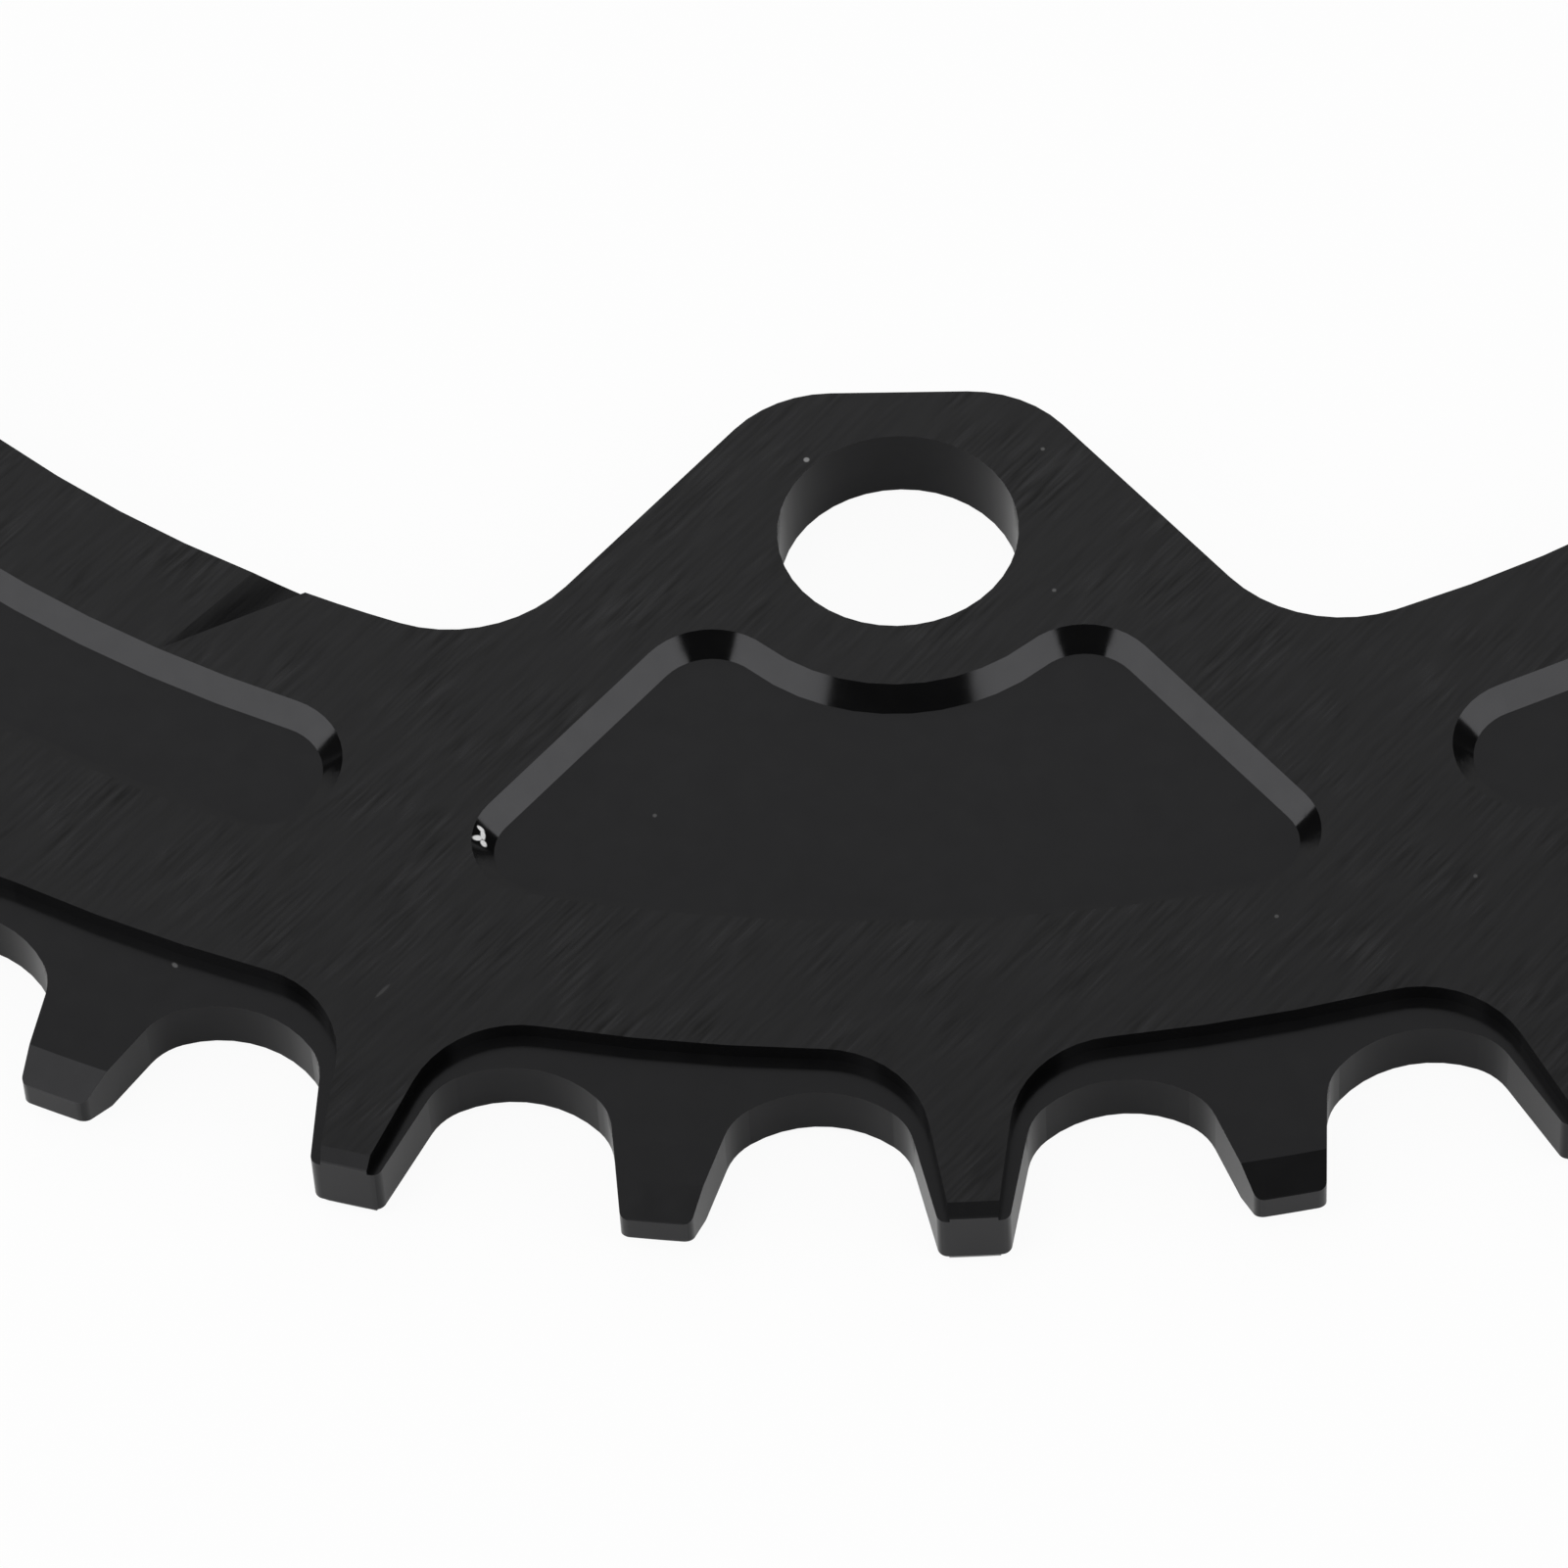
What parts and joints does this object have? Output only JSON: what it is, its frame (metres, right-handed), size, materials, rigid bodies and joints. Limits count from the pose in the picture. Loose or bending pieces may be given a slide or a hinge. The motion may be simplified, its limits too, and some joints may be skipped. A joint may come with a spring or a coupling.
{
  "type": "bicycle chainring",
  "caption": "Flat bicycle chainring in black anodised aluminium, with alternating wide and narrow teeth, shallow milled pockets in the rim and bolt tabs reaching inwards.",
  "frame": {"origin": "centre of the ring on its flat back face", "axes": "+Z along the axis of the ring, out of the pocketed front face; -Y towards the first bolt tab"},
  "size_m": [0.175, 0.175, 0.004],
  "materials": {
    "black_anodised_aluminium": "black anodised over linear brushing on the lands, smooth in the milled pockets"
  },
  "bodies": {
    "root": {"chainring": "black_anodised_aluminium"}
  },
  "joints": []
}
